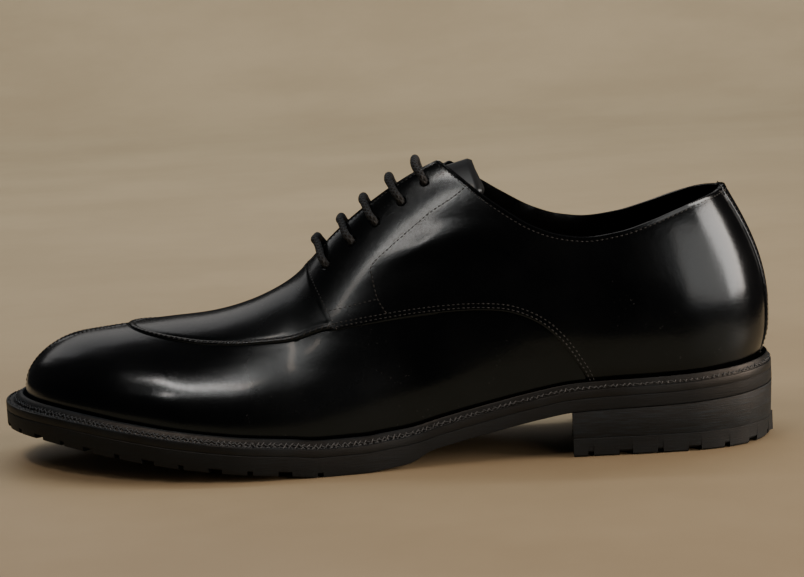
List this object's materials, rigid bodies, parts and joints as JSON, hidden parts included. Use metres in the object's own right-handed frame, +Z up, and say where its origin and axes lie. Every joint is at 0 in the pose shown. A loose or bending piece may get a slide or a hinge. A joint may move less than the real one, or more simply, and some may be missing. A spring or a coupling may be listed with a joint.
{
  "type": "dress shoe",
  "caption": "Left derby dress shoe with a split toe, raised apron seam, open lacing, storm welt, lugged rubber sole and stacked heel.",
  "frame": {"origin": "centre of the bounding box in plan, on the floor plane that heel and forefoot stand on", "axes": "+X to the back of the heel, +Y to the inner side of the foot, +Z up; the toe points along -X"},
  "size_m": [0.308, 0.108, 0.1158],
  "materials": {
    "sole_rubber": "matt black, brushed edge",
    "welt_leather": "matt black edge dressing",
    "heel_stack": "matt black edge dressing, finely ground",
    "top_piece_rubber": "matt black, brushed edge",
    "insole_leather": "matt black lining leather",
    "upper_leather": "smooth black leather, polished to a high shine",
    "tongue_leather": "smooth black leather, semi-gloss",
    "lace_cord": "black waxed round cord"
  },
  "bodies": {
    "root": {"outsole": "sole_rubber", "welt": "welt_leather", "heel_block": "heel_stack", "heel_top_piece": "top_piece_rubber", "insole": "insole_leather", "upper": "upper_leather", "tongue": "tongue_leather", "lace_bar_1": "lace_cord", "lace_bar_2": "lace_cord", "lace_bar_3": "lace_cord", "lace_bar_4": "lace_cord", "lace_bar_5": "lace_cord"}
  },
  "joints": []
}
